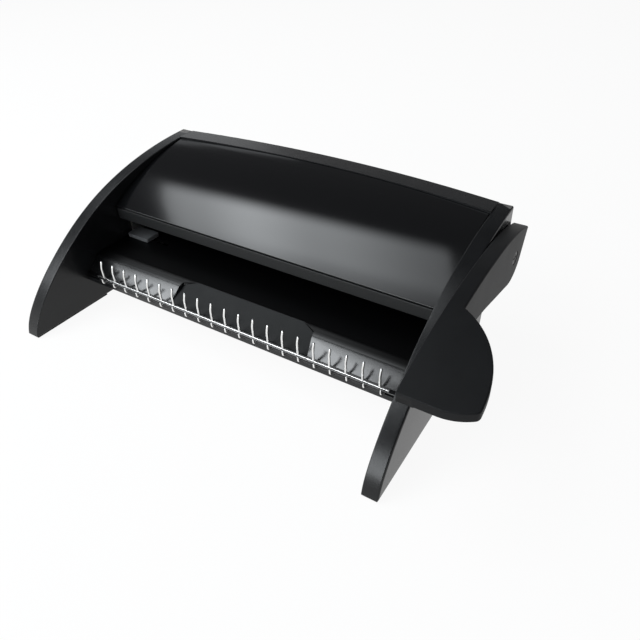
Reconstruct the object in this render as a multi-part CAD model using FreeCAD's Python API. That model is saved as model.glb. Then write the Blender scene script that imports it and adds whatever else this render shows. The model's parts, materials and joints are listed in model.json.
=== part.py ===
"""Comb binding machine: a desk punch and comb opener worked by one lever at its right-hand side.

Sizes are in millimetres. The model is laid out with X along the pins from the middle of the body,
Y back from the pin line and Z up from the desk. Each piece is saved with the origin moved to the
middle of the whole machine's footprint. Outline points are (Y, Z) offsets from the place that their
comment names.
"""
import FreeCAD, Part
import math
import os

Vector = FreeCAD.Vector

# Pins, on the standard comb pitch
PIN_COUNT = 21
PIN_PITCH = 14.2875
PIN_RADIUS = 1.0
PIN_STRAIGHT = 10.0
PIN_TIP_RISE = 5.0
PIN_TIP_LEAN = 1.8
PIN_RAIL_WALL = 1.0
PIN_RAIL_HALF_DEPTH = 1.0
PIN_RAIL_OVERHANG = 8.0

# Side panels, with the rim's points measured from the tip of the front foot
PANEL_THICKNESS = 13.0
PANEL_EDGE_ROUND = 1.5
PANEL_INNER_ROUND = 0.7
FOOT_FRONT = 66.0
RIM_SHIN = (3.0, 10.5)
RIM_KNEE = (13.0, 25.5)
RIM_THIGH = (43.0, 54.0)
RIM_HIP = (96.0, 87.5)
RIM_BACK = (163.0, 109.0)
BODY_HEIGHT = 116.0
HEEL_REACH = 6.0
HEEL_HEIGHT = 42.0
REAR_BULGE = 8.0
SHOULDER_DROP = 31.0
FOOT_PAD_THICKNESS = 2.0
FRONT_PAD_LENGTH = 77.0
REAR_PAD_LENGTH = 26.0
FOOT_PAD_INSET = 1.0

# Rear beam and rear panel
BEAM_WIDTH = 20.0
BEAM_DEPTH = 30.0
BEAM_WALL = 3.0
BEAM_EDGE_ROUND = 1.2
BEAM_BEHIND_SHAFT = 20.0
REAR_BOW = 15.0
REAR_PANEL_WALL = 2.5
REAR_PANEL_INSET = 2.0
REAR_PANEL_GAP = 1.0
SEAM_GAP = 0.6

# Cover, fascia and throat
COVER_WALL = 2.5
COVER_FRONT = 47.0
COVER_BULGE = 5.9
COVER_BACK = 148.0
COVER_BACK_DROP = 1.4
COVER_SIDE_GAP = 1.0
FASCIA_THICKNESS = 3.0
FASCIA_HEIGHT = 10.5
FASCIA_SETBACK = 0.6
THROAT_HEIGHT = 21.0
THROAT_WALL = 1.5

# Lower housing, comb ledge, apron and paper table
FLOOR_BOTTOM = 3.0
FLOOR_WALL = 2.0
SHELF_BOTTOM = 26.0
SHELF_WALL = 2.5
STEP_FRONT = 34.0
LIP_RISE = 2.2
SLIT_GAP = 0.4
LEDGE_FRONT = -2.0
LEDGE_BACK = 2.5
LEDGE_WALL = 0.9
APRON_RISE = 13.4
APRON_SLOPE_RUN = 10.5
APRON_CREST_DROP = 2.4
APRON_BELLY_RUN = 5.5
APRON_BELLY_RISE = 1.0
TABLE_FRONT = 24.0
TABLE_WALL = 2.5
SCOOP_MIDDLE = 7.5
SCOOP_FRONT_HALF = 70.5
SCOOP_CORNER_HALF = 67.5
SCOOP_REAR_HALF = 55.5
SCOOP_CORNER_Y = 18.0
SCOOP_REAR_Y = 23.0
SCOOP_WALL = 1.0

# Hook rack and its cam
RACK_WALL = 1.2
RACK_BACK = 14.0
RACK_OVERHANG = 5.0
HOOK_RADIUS = 0.7
HOOK_REACH = 2.6
HOOK_RISE = 3.7
HOOK_OFFSET = 3.2
HOOK_TRAVEL = 8.0
TONGUE_WIDTH = 24.0
POST_WIDTH = 8.0
POST_DEPTH = 8.0
POST_GAP = 3.6
POST_BACK_GAP = 0.5
POST_HOLE_GAP = 0.5
POST_SIDE_GAP = 4.025
WEDGE_GAP = 0.4
WEDGE_HEAD_GAP = 1.0
WEDGE_LENGTH = 12.0

# Punch unit
PUNCH_Y = 97.0
PUNCH_WIDTH = 8.0
PUNCH_DEPTH = 3.0
PUNCH_CLEARANCE = 0.1
PUNCH_RETRACT = 0.5
PAPER_SLOT = 2.5
DIE_WALL = 5.0
GUIDE_WALL = 4.0
DIE_AHEAD = 10.5
GUIDE_AHEAD = 9.0
DIE_BEHIND = 13.0
BACK_STOP_BEHIND = 5.0
PUNCH_BAR_DEPTH = 10.0
PUNCH_BAR_HEIGHT = 14.0
PUNCH_BAR_LIFT = 15.2
PUNCH_BAR_END_GAP = 2.5
SPRING_RADIUS = 2.6
SPRING_WIRE = 0.8
SPRING_TOP_GAP = 0.3
SPRING_POCKET_DEPTH = 8.0
SPRING_POCKET_GAP = 0.4
SPRING_BAY = 7.5

# Chassis, shaft and rockers
CHASSIS_WALL = 2.0
CHASSIS_FRONT_GAP = 8.0
CHASSIS_FOOT_DROP = 6.0
CHASSIS_AROUND_SHAFT = 14.0
CHASSIS_BEHIND_SHAFT = 11.0
CHASSIS_ABOVE_SHAFT = 22.0
SHAFT_RADIUS = 5.0
SHAFT_END_GAP = 1.0
RUNNING_FIT = 0.05
BUSH_WALL = 3.0
BUSH_INNER_REACH = 2.0
BUSH_BLIND_DEPTH = 6.0
LEVER_SWING_DEG = 16.0
ROCKER_REACH = 43.0
ROCKER_WALL = 6.0
ROCKER_HUB = 9.0
ROCKER_NOSE = 5.0
ROCKER_GAP = 0.3
ROCKER_BAY = 8.5
CLIP_WALL = 1.2
CLIP_RADIUS = 8.0

# Lever, with its outline's points measured from the shaft
LEVER_GAP = 0.8
LEVER_THICKNESS = 12.0
LEVER_EDGE_ROUND = 1.2
LEVER_UNDER_ROUND = 0.6
LEVER_NOSE = (-190.0, 7.9)
LEVER_NECK = (-122.0, 24.0)
LEVER_CROWN = (-56.0, 29.0)
LEVER_SHOULDER = (-14.0, 26.6)
LEVER_TAIL = (26.0, 17.0)
LEVER_HEEL = (14.0, -12.0)
LEVER_BELLY = (-9.0, -21.0)
LEVER_WAIST = (-67.0, -8.0)
LEVER_RIB_FRONT = (-150.0, 5.4)
LEVER_HEEL_BULGE = 3.5
PAD_THICKNESS = 7.0
PAD_REACH = 49.7
PAD_BOW = 24.0
PAD_BOW_DEPTH = 7.0
PAD_CORNER = 4.0
PAD_SIDE_START = 12.0
PAD_ROOT = -115.0
LEVER_SCREW_HEAD = 6.0
LEVER_SCREW_SINK = 0.4
LEVER_SCREW_HEAD_DEPTH = 2.0
LEVER_SCREW_SHANK = 2.0
LEVER_SCREW_LENGTH = 16.0
LEVER_SCREW_TIP_GAP = 1.0
CROSS_SLOT_HALF = 3.6
CROSS_SLOT_WIDTH = 1.4
CROSS_SLOT_DEPTH = 1.0

# Chip tray
TRAY_WALL = 2.0
TRAY_SIDE_GAP = 2.475
TRAY_TOP_GAP = 1.5
TRAY_FLOOR_GAP = 0.5
TRAY_FRONT_GAP = 1.0
TRAY_FACE_SIDE_GAP = 2.5
TRAY_FACE_TOP_GAP = 0.5
TRAY_FACE_WALL = 2.5
TRAY_FACE_FLOOR_GAP = 2.0
TRAY_GRIP_HALF = 35.0
TRAY_GRIP_DEPTH = 6.0
TRAY_GRIP_WALL = 2.5

# Edge guide
GUIDE_TAB_LENGTH = 26.0
GUIDE_TAB_DEPTH = 16.0
GUIDE_TAB_HEIGHT = 3.8
GUIDE_TAB_ROUND = 1.9
GUIDE_TAB_END_GAP = 0.8
GUIDE_TAB_SETBACK = 26.0
GUIDE_STEM = 5.0
GUIDE_STEM_GAP = 0.3
GUIDE_TRAVEL = 30.0
GUIDE_CLIP_WALL = 1.8
GUIDE_CLIP_RIM = 3.0

# Screws, with the chassis screws' places measured from the punch line at the table's top
SCREW_HEAD = 3.5
SCREW_HEAD_DEPTH = 2.0
SCREW_SHANK = 1.75
SCREW_LENGTH = 10.0
SCREW_FIT = 0.05
DIE_SCREW_HEAD = 2.6
CHASSIS_SCREW_PLACES = ((-33.0, 24.0), (15.0, 45.0), (19.0, 15.0))
DIE_SCREW_BAYS = (-9.5, -3.5, 3.5, 9.5)

# Widths, from the pins outwards
PIN_SPAN = (PIN_COUNT - 1) * PIN_PITCH
PIN_PLACES = [index * PIN_PITCH - PIN_SPAN / 2.0 for index in range(PIN_COUNT)]
POST_INNER = PIN_SPAN / 2.0 + PUNCH_WIDTH / 2.0 + POST_GAP
POST_OUTER = POST_INNER + POST_WIDTH
CHASSIS_INNER = POST_OUTER + POST_SIDE_GAP
INNER = CHASSIS_INNER + CHASSIS_WALL
HALF = INNER + PANEL_THICKNESS
BAR_END = CHASSIS_INNER - PUNCH_BAR_END_GAP
LEVER_INNER = HALF + LEVER_GAP
LEVER_OUTER = LEVER_INNER + LEVER_THICKNESS
PAD_TIP = LEVER_INNER + PAD_REACH

# Depths, from the punch line backwards
DIE_FRONT = PUNCH_Y - DIE_AHEAD
GUIDE_FRONT = PUNCH_Y - GUIDE_AHEAD
DIE_BACK = PUNCH_Y + DIE_BEHIND
BACK_STOP_FRONT = PUNCH_Y + BACK_STOP_BEHIND
POST_FRONT = PUNCH_Y + PUNCH_DEPTH / 2.0 + POST_BACK_GAP
POST_BACK = POST_FRONT + POST_DEPTH
SHAFT_Y = PUNCH_Y + ROCKER_REACH
FOOT_REAR = DIE_BACK
HEEL_Y = DIE_BACK + HEEL_REACH
REAR_CORNER = SHAFT_Y + BEAM_BEHIND_SHAFT
REAR_EDGE = REAR_CORNER + REAR_BOW
BOW_RADIUS = (HALF ** 2 + REAR_BOW ** 2) / (2.0 * REAR_BOW)
BOW_CENTRE = REAR_EDGE - BOW_RADIUS

# Heights, from the desk upwards
SHELF_TOP = SHELF_BOTTOM + SHELF_WALL
LIP_TOP = SHELF_TOP + LIP_RISE
RACK_BOTTOM = LIP_TOP + SLIT_GAP
RACK_TOP = RACK_BOTTOM + RACK_WALL
LEDGE_BOTTOM = RACK_TOP + SLIT_GAP
LEDGE_TOP = LEDGE_BOTTOM + LEDGE_WALL
TABLE_TOP = LEDGE_TOP + APRON_RISE
TABLE_BOTTOM = TABLE_TOP - TABLE_WALL
DIE_BOTTOM = TABLE_TOP - DIE_WALL
WEDGE_TOP = DIE_BOTTOM - WEDGE_HEAD_GAP
GUIDE_BOTTOM = TABLE_TOP + PAPER_SLOT
GUIDE_TOP = GUIDE_BOTTOM + GUIDE_WALL
BAR_BOTTOM = GUIDE_TOP + PUNCH_BAR_LIFT
BAR_TOP = BAR_BOTTOM + PUNCH_BAR_HEIGHT
PUNCH_TRAVEL = ROCKER_REACH * math.radians(LEVER_SWING_DEG)
NOSE_Z = BAR_TOP + ROCKER_GAP + ROCKER_NOSE
SHAFT_Z = NOSE_Z - PUNCH_TRAVEL / 2.0
FASCIA_BOTTOM = TABLE_TOP + THROAT_HEIGHT
FASCIA_TOP = FASCIA_BOTTOM + FASCIA_HEIGHT
COVER_FRONT_Z = FASCIA_TOP + COVER_WALL
SHOULDER_Z = BODY_HEIGHT - SHOULDER_DROP
TRAY_BOTTOM = FLOOR_BOTTOM + FLOOR_WALL + TRAY_FLOOR_GAP
ORIGIN_SHIFT = Vector((HALF - PAD_TIP) / 2.0, (FOOT_FRONT - REAR_EDGE) / 2.0, 0.0)
TOUCH = 1e-4


def box(x0, x1, y0, y1, z0, z1):
    return Part.makeBox(x1 - x0, y1 - y0, z1 - z0, Vector(x0, y0, z0))


def rod_x(radius, x0, x1, y, z):
    return Part.makeCylinder(radius, x1 - x0, Vector(x0, y, z), Vector(1, 0, 0))


def rod_z(radius, z0, z1, x, y):
    return Part.makeCylinder(radius, z1 - z0, Vector(x, y, z0), Vector(0, 0, 1))


def rod_between(radius, start, end):
    line = end - start
    return Part.makeCylinder(radius, line.Length, start, line)


def shaft_rod(radius, x0, x1):
    return rod_x(radius, x0, x1, SHAFT_Y, SHAFT_Z)


def from_shaft(offset):
    return (SHAFT_Y + offset[0], SHAFT_Z + offset[1])


def arc(first, middle, last):
    points = [Vector(0, y, z) for y, z in (first, middle, last)]
    return Part.Arc(*points).toShape()


def bulged(first, last, bulge):
    """Arc from first to last whose middle stands off the chord, to the left of the way it runs."""
    dy = last[0] - first[0]
    dz = last[1] - first[1]
    length = math.hypot(dy, dz)
    middle_y = (first[0] + last[0]) / 2.0 - bulge * dz / length
    middle_z = (first[1] + last[1]) / 2.0 + bulge * dy / length
    return arc(first, (middle_y, middle_z), last)


def spline(points):
    curve = Part.BSplineCurve()
    curve.interpolate([Vector(0, y, z) for y, z in points])
    return curve.toShape()


def side_wire(*pieces):
    """Closed wire in the YZ plane from corner points and ready-made edges, in order round the outline."""
    edges = []
    start = None
    last = None
    for piece in pieces:
        if isinstance(piece, tuple):
            first = Vector(0, piece[0], piece[1])
            end = first
        else:
            first = piece.valueAt(piece.FirstParameter)
            end = piece.valueAt(piece.LastParameter)
        if last is not None and not last.isEqual(first, TOUCH):
            edges.append(Part.LineSegment(last, first).toShape())
        if not isinstance(piece, tuple):
            edges.append(piece)
        if start is None:
            start = first
        last = end
    if not last.isEqual(start, TOUCH):
        edges.append(Part.LineSegment(last, start).toShape())
    return Part.Wire(edges)


def along_x(wire, x0, x1):
    solid = Part.Face(wire).extrude(Vector(x1 - x0, 0, 0))
    solid.translate(Vector(x0, 0, 0))
    return solid


def along_y(points, y0, y1):
    corners = [Vector(x, y0, z) for x, z in points]
    return Part.Face(Part.makePolygon(corners + corners[:1])).extrude(Vector(0, y1 - y0, 0))


def along_z(points, z0, z1):
    corners = [Vector(x, y, z0) for x, y in points]
    return Part.Face(Part.makePolygon(corners + corners[:1])).extrude(Vector(0, 0, z1 - z0))


def mirrored(shape):
    return shape.mirror(Vector(0, 0, 0), Vector(1, 0, 0))


def bow_cylinder(offset, z0, z1):
    """Solid whose rear face is the bowed rear edge in plan, moved forward by offset."""
    return rod_z(BOW_RADIUS - offset, z0, z1, 0, BOW_CENTRE)


def group(solids):
    return Part.makeCompound(solids)


def save(name, shape):
    placed = shape.copy()
    placed.translate(ORIGIN_SHIFT)
    placed.exportStep("parts/" + name + ".step")


def edges_on_x(solid, x):
    """Edges of solid that lie wholly on the plane at x."""
    return [edge for edge in solid.Edges
            if abs(edge.BoundBox.XMin - x) < TOUCH and abs(edge.BoundBox.XMax - x) < TOUCH]


def side_panel():
    """Right-hand crescent panel with its edges rounded, before its holes."""
    tip = (-FOOT_FRONT, FOOT_PAD_THICKNESS)
    offsets = (RIM_SHIN, RIM_KNEE, RIM_THIGH, RIM_HIP, RIM_BACK)
    rim_points = [(y - FOOT_FRONT, z) for y, z in offsets]
    rim = spline([tip] + rim_points + [(REAR_CORNER, BODY_HEIGHT)])
    haunch = bulged((REAR_CORNER, SHOULDER_Z), (HEEL_Y, HEEL_HEIGHT), REAR_BULGE)
    outline = side_wire(rim, haunch, (FOOT_REAR, FOOT_PAD_THICKNESS))
    panel = along_x(outline, INNER, HALF)
    panel = panel.makeFillet(PANEL_EDGE_ROUND, edges_on_x(panel, HALF))
    return panel.makeFillet(PANEL_INNER_ROUND, edges_on_x(panel, INNER))


def chassis_screw_places():
    return [(PUNCH_Y + y, TABLE_TOP + z) for y, z in CHASSIS_SCREW_PLACES]


def chassis_screw_holes():
    tip = CHASSIS_INNER + SCREW_LENGTH + SCREW_FIT
    return [rod_x(SCREW_SHANK + SCREW_FIT, CHASSIS_INNER, tip, y, z) for y, z in chassis_screw_places()]


def make_side_panels():
    holes = chassis_screw_holes()
    bush_radius = SHAFT_RADIUS + RUNNING_FIT + BUSH_WALL
    right = side_panel()
    left = mirrored(right)
    right = right.cut(holes + [shaft_rod(bush_radius, INNER, HALF)])
    blind = shaft_rod(bush_radius, INNER, INNER + BUSH_BLIND_DEPTH)
    left = left.cut([mirrored(hole) for hole in holes + [blind]])
    save("right_side_panel", right)
    save("left_side_panel", left)


def make_foot_pads():
    pads = []
    front = -FOOT_FRONT + FOOT_PAD_INSET
    rear = FOOT_REAR - FOOT_PAD_INSET
    for panel_start in (INNER, -HALF):
        x0 = panel_start + FOOT_PAD_INSET
        x1 = panel_start + PANEL_THICKNESS - FOOT_PAD_INSET
        pads.append(box(x0, x1, front, front + FRONT_PAD_LENGTH, 0, FOOT_PAD_THICKNESS))
        pads.append(box(x0, x1, rear - REAR_PAD_LENGTH, rear, 0, FOOT_PAD_THICKNESS))
    save("foot_pads", group(pads))


def make_rear_beam():
    """Bowed channel across the back: a top, a rear wall and a bottom lip, open to the front."""
    bottom = BODY_HEIGHT - BEAM_DEPTH
    top_wall = BODY_HEIGHT - BEAM_WALL
    lip_front = REAR_CORNER - REAR_PANEL_INSET - REAR_PANEL_WALL - BEAM_WALL
    reach = box(-INNER, INNER, 0, REAR_EDGE, bottom, BODY_HEIGHT)
    block = bow_cylinder(0, bottom, BODY_HEIGHT).common(reach)
    hollow = bow_cylinder(BEAM_WALL, bottom + BEAM_WALL, top_wall)
    over = bow_cylinder(BEAM_WIDTH, top_wall, BODY_HEIGHT)
    under = box(-INNER, INNER, 0, lip_front, bottom, bottom + BEAM_WALL)
    beam = block.cut([hollow, over, under])
    rear_top = [edge for edge in beam.Edges
                if edge.BoundBox.ZMin > BODY_HEIGHT - TOUCH and edge.BoundBox.YMax > REAR_EDGE - BEAM_WALL]
    save("rear_beam", beam.makeFillet(BEAM_EDGE_ROUND, rear_top))


def make_rear_panel():
    """Back sheet that follows the side panels' rear edge, inset, up to the beam's underside."""
    heel = HEEL_Y - REAR_PANEL_INSET
    inner_heel = heel - REAR_PANEL_WALL
    bottom = RACK_BOTTOM - TRAY_FACE_TOP_GAP + REAR_PANEL_GAP
    top = (REAR_CORNER - REAR_PANEL_INSET, BODY_HEIGHT - BEAM_DEPTH)
    inner_top = (top[0] - REAR_PANEL_WALL, top[1])
    outer = bulged(top, (heel, HEEL_HEIGHT), REAR_BULGE)
    inner = bulged((inner_heel, HEEL_HEIGHT), inner_top, -REAR_BULGE)
    save("rear_panel", along_x(side_wire(outer, (heel, bottom), (inner_heel, bottom), inner), -INNER, INNER))


def make_top_cover():
    """Curved glossy shell from the fascia up to the bowed seam with the beam."""
    half = INNER - COVER_SIDE_GAP
    front = (COVER_FRONT, COVER_FRONT_Z)
    arch = bulged(front, (COVER_BACK, BODY_HEIGHT - COVER_BACK_DROP), COVER_BULGE).Curve
    seam = REAR_EDGE - BEAM_WIDTH
    centre = arch.Center
    ends = []
    for y in (COVER_FRONT, (COVER_FRONT + seam) / 2.0, seam):
        ends.append(Vector(0, y, centre.z + math.sqrt(arch.Radius ** 2 - (y - centre.y) ** 2)))
    shrink = (arch.Radius - COVER_WALL) / arch.Radius
    inner = [centre + (point - centre) * shrink for point in reversed(ends)]
    shell = along_x(side_wire(Part.Arc(*ends).toShape(), Part.Arc(*inner).toShape()), -half, half)
    save("top_cover", shell.common(bow_cylinder(BEAM_WIDTH + SEAM_GAP, 0, BODY_HEIGHT)))


def fascia_back():
    return COVER_FRONT + FASCIA_SETBACK + FASCIA_THICKNESS


def make_cover_fascia():
    half = INNER - COVER_SIDE_GAP
    front = COVER_FRONT + FASCIA_SETBACK
    save("cover_fascia", box(-half, half, front, fascia_back(), FASCIA_BOTTOM, FASCIA_TOP))


def make_throat_guide():
    """Sloping sheet that leads the pages from the fascia down to the punch guide."""
    front = fascia_back()
    outline = side_wire((front, FASCIA_BOTTOM), (GUIDE_FRONT, GUIDE_BOTTOM),
                        (GUIDE_FRONT, GUIDE_BOTTOM + THROAT_WALL), (front, FASCIA_BOTTOM + THROAT_WALL))
    save("throat_guide", along_x(outline, -CHASSIS_INNER, CHASSIS_INNER))


def guide_tab_corner():
    return (-CHASSIS_INNER + GUIDE_TAB_END_GAP, TABLE_FRONT + GUIDE_TAB_SETBACK)


def guide_stem_place():
    x, y = guide_tab_corner()
    return (x + GUIDE_TAB_LENGTH / 2.0, y + GUIDE_TAB_DEPTH / 2.0)


def make_paper_table():
    """Flat deck with the slot that the edge guide's stem runs in."""
    deck = box(-INNER, INNER, TABLE_FRONT, DIE_FRONT, TABLE_BOTTOM, TABLE_TOP)
    x, y = guide_stem_place()
    reach = GUIDE_STEM / 2.0 + GUIDE_STEM_GAP
    slot = box(x - reach, x + GUIDE_TRAVEL + reach, y - reach, y + reach, TABLE_BOTTOM, TABLE_TOP)
    save("paper_table", deck.cut(slot))


def make_edge_guide():
    """Stop for the pages' edge, with a clip below the deck that keeps its stem in the slot."""
    x0, y0 = guide_tab_corner()
    bottom = TABLE_TOP + GUIDE_STEM_GAP
    tab = box(x0, x0 + GUIDE_TAB_LENGTH, y0, y0 + GUIDE_TAB_DEPTH, bottom, bottom + GUIDE_TAB_HEIGHT)
    uprights = [edge for edge in tab.Edges if edge.BoundBox.ZLength > GUIDE_TAB_HEIGHT - TOUCH]
    tab = tab.makeFillet(GUIDE_TAB_ROUND, uprights)
    x, y = guide_stem_place()
    half = GUIDE_STEM / 2.0
    clip_top = TABLE_BOTTOM - GUIDE_STEM_GAP
    stem = box(x - half, x + half, y - half, y + half, clip_top, bottom)
    save("edge_guide", tab.fuse(stem).removeSplitter())
    rim = half + GUIDE_CLIP_RIM
    save("guide_clip", box(x - rim, x + rim, y - rim, y + rim, clip_top - GUIDE_CLIP_WALL, clip_top))


def scoop_space(drop):
    """Room above the flat scoop near the apron's middle, whose floor is lowered by drop."""
    front = (LEDGE_BACK, LEDGE_TOP - drop)
    rear = (SCOOP_REAR_Y, TABLE_TOP - drop)
    right = [(SCOOP_FRONT_HALF, LEDGE_BACK), (SCOOP_CORNER_HALF, SCOOP_CORNER_Y),
             (SCOOP_REAR_HALF, SCOOP_REAR_Y)]
    left = [(-x, y) for x, y in reversed(right)]
    outline = [(SCOOP_MIDDLE + x, y) for x, y in right + left]
    plan = along_z(outline, LEDGE_BOTTOM, BODY_HEIGHT)
    wedge = along_x(side_wire(front, rear, (rear[0], BODY_HEIGHT), (front[0], BODY_HEIGHT)), -HALF, HALF)
    return plan.common(wedge)


def make_comb_apron():
    """Ledge under the pins, the apron that rolls up from it to the table, and the inset in its scoop."""
    crest = (LEDGE_BACK + APRON_SLOPE_RUN, TABLE_TOP - APRON_CREST_DROP)
    roll_middle = ((crest[0] + TABLE_FRONT) / 2.0, TABLE_TOP - APRON_CREST_DROP / 4.0)
    roll = arc(crest, roll_middle, (TABLE_FRONT, TABLE_TOP))
    belly = (LEDGE_BACK + APRON_BELLY_RUN, LEDGE_BOTTOM + APRON_BELLY_RISE)
    outline = side_wire((LEDGE_FRONT, LEDGE_BOTTOM), (LEDGE_FRONT, LEDGE_TOP), (LEDGE_BACK, LEDGE_TOP), roll,
                        (TABLE_FRONT, TABLE_BOTTOM), belly, (belly[0], LEDGE_BOTTOM))
    save("comb_apron", along_x(outline, -INNER, INNER).cut(scoop_space(SCOOP_WALL)))
    save("scoop_panel", scoop_space(SCOOP_WALL).cut(scoop_space(0)))


def pin(x):
    """Upright wire with a rounded tip that leans back."""
    foot = Vector(x, 0, LEDGE_TOP + PIN_RAIL_WALL)
    knee = foot + Vector(0, 0, PIN_STRAIGHT)
    tip = knee + Vector(0, PIN_TIP_LEAN, PIN_TIP_RISE)
    solid = rod_between(PIN_RADIUS, foot, knee)
    return solid.fuse([Part.makeSphere(PIN_RADIUS, knee), rod_between(PIN_RADIUS, knee, tip),
                       Part.makeSphere(PIN_RADIUS, tip)])


def make_pins():
    half = PIN_SPAN / 2.0 + PIN_RAIL_OVERHANG
    depth = PIN_RAIL_HALF_DEPTH
    save("pin_rail", box(-half, half, -depth, depth, LEDGE_TOP, LEDGE_TOP + PIN_RAIL_WALL))
    save("pins", group([pin(x) for x in PIN_PLACES]))


def hook(x):
    """Small wire hook that comes out of the slit and turns up in front of the ledge."""
    root = Vector(x, LEDGE_FRONT, (RACK_BOTTOM + RACK_TOP) / 2.0)
    elbow = root - Vector(0, HOOK_REACH, 0)
    tip = elbow + Vector(0, 0, HOOK_RISE)
    solid = rod_between(HOOK_RADIUS, root, elbow)
    return solid.fuse([Part.makeSphere(HOOK_RADIUS, elbow), rod_between(HOOK_RADIUS, elbow, tip),
                       Part.makeSphere(HOOK_RADIUS, tip)])


def wedge_slope():
    """Sideways movement of the rack for each millimetre that the punch bar goes down."""
    return HOOK_TRAVEL / PUNCH_TRAVEL


def tongue_end():
    """Right-hand edge of the rack's tongue, clear of the cam post's slope."""
    return POST_INNER + (WEDGE_TOP - RACK_TOP) * wedge_slope() - 2.0 * WEDGE_GAP


def make_hook_rack():
    """Thin plate that slides behind the slit, with a hook beside each pin and a tongue back to the cam."""
    half = PIN_SPAN / 2.0 + RACK_OVERHANG
    plate = box(-half, half, LEDGE_FRONT, RACK_BACK, RACK_BOTTOM, RACK_TOP)
    end = tongue_end()
    tongue = box(end - TONGUE_WIDTH, end, RACK_BACK, POST_BACK, RACK_BOTTOM, RACK_TOP)
    save("hook_rack", plate.fuse(tongue).removeSplitter())
    save("hooks", group([hook(x + HOOK_OFFSET) for x in PIN_PLACES]))


def make_cam():
    """Cam post under the punch bar's right end, and the wedge on the rack's tongue that it pushes aside."""
    tip = WEDGE_TOP - POST_WIDTH / wedge_slope()
    post = [(POST_INNER, BAR_BOTTOM), (POST_INNER, WEDGE_TOP), (POST_OUTER, tip), (POST_OUTER, BAR_BOTTOM)]
    save("cam_post", along_y(post, POST_FRONT, POST_BACK))
    face_top = POST_INNER - WEDGE_GAP
    end = tongue_end()
    face_foot = WEDGE_TOP - (end - face_top) / wedge_slope()
    back = face_top - WEDGE_LENGTH
    wedge = [(back, RACK_TOP), (end, RACK_TOP), (end, face_foot), (face_top, WEDGE_TOP), (back, WEDGE_TOP)]
    save("rack_wedge", along_y(wedge, POST_FRONT, POST_BACK))


def punch_holes(z0, z1):
    x_reach = PUNCH_WIDTH / 2.0 + PUNCH_CLEARANCE
    y_reach = PUNCH_DEPTH / 2.0 + PUNCH_CLEARANCE
    return [box(x - x_reach, x + x_reach, PUNCH_Y - y_reach, PUNCH_Y + y_reach, z0, z1) for x in PIN_PLACES]


def die_screw_places():
    return [(bay * PIN_PITCH, (BACK_STOP_FRONT + DIE_BACK) / 2.0) for bay in DIE_SCREW_BAYS]


def clamp_holes(z0, z1):
    """Holes through the whole die set: its clamp screws' and the cam post's."""
    holes = [rod_z(SCREW_SHANK + SCREW_FIT, z0, z1, x, y) for x, y in die_screw_places()]
    holes.append(box(POST_INNER - POST_HOLE_GAP, POST_OUTER + POST_HOLE_GAP, POST_FRONT - POST_HOLE_GAP,
                     POST_BACK + POST_HOLE_GAP, z0, z1))
    return holes


def make_die_set():
    """Die plate, back stop and punch guide, clamped together by screws behind the punches."""
    end = CHASSIS_INNER
    die = box(-end, end, DIE_FRONT, DIE_BACK, DIE_BOTTOM, TABLE_TOP)
    stop = box(-end, end, BACK_STOP_FRONT, DIE_BACK, TABLE_TOP, GUIDE_BOTTOM)
    guide = box(-end, end, GUIDE_FRONT, DIE_BACK, GUIDE_BOTTOM, GUIDE_TOP)
    through = clamp_holes(DIE_BOTTOM, GUIDE_TOP)
    punched = through + punch_holes(DIE_BOTTOM, GUIDE_TOP)
    save("die_plate", die.cut(punched))
    save("back_stop", stop.cut(through))
    save("punch_guide", guide.cut(punched))
    screws = []
    for x, y in die_screw_places():
        head = rod_z(DIE_SCREW_HEAD, GUIDE_TOP, GUIDE_TOP + SCREW_HEAD_DEPTH, x, y)
        screws.append(head.fuse(rod_z(SCREW_SHANK, DIE_BOTTOM, GUIDE_TOP, x, y)).removeSplitter())
    save("die_screws", group(screws))


def make_punch_set():
    """Punch bar with its row of flat punches, and the springs that lift it."""
    half = PUNCH_BAR_DEPTH / 2.0
    bar = box(-BAR_END, BAR_END, PUNCH_Y - half, PUNCH_Y + half, BAR_BOTTOM, BAR_TOP)
    places = [way * SPRING_BAY * PIN_PITCH for way in (-1, 1)]
    pocket_top = BAR_BOTTOM + SPRING_POCKET_DEPTH
    pocket_radius = SPRING_RADIUS + SPRING_POCKET_GAP
    save("punch_bar", bar.cut([rod_z(pocket_radius, BAR_BOTTOM, pocket_top, x, PUNCH_Y) for x in places]))
    tip = GUIDE_BOTTOM + PUNCH_RETRACT
    punches = [box(x - PUNCH_WIDTH / 2.0, x + PUNCH_WIDTH / 2.0, PUNCH_Y - PUNCH_DEPTH / 2.0,
                   PUNCH_Y + PUNCH_DEPTH / 2.0, tip, BAR_BOTTOM) for x in PIN_PLACES]
    save("punches", group(punches))
    springs = []
    spring_top = pocket_top - SPRING_TOP_GAP
    for x in places:
        sleeve = rod_z(SPRING_RADIUS, GUIDE_TOP, spring_top, x, PUNCH_Y)
        springs.append(sleeve.cut(rod_z(SPRING_RADIUS - SPRING_WIRE, GUIDE_TOP, spring_top, x, PUNCH_Y)))
    save("return_springs", group(springs))


def chassis_screw(y, z):
    """Right-hand screw with its head on the chassis plate and its shank in the side panel."""
    head = rod_x(SCREW_HEAD, CHASSIS_INNER - SCREW_HEAD_DEPTH, CHASSIS_INNER, y, z)
    return head.fuse(rod_x(SCREW_SHANK, CHASSIS_INNER, CHASSIS_INNER + SCREW_LENGTH, y, z)).removeSplitter()


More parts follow.
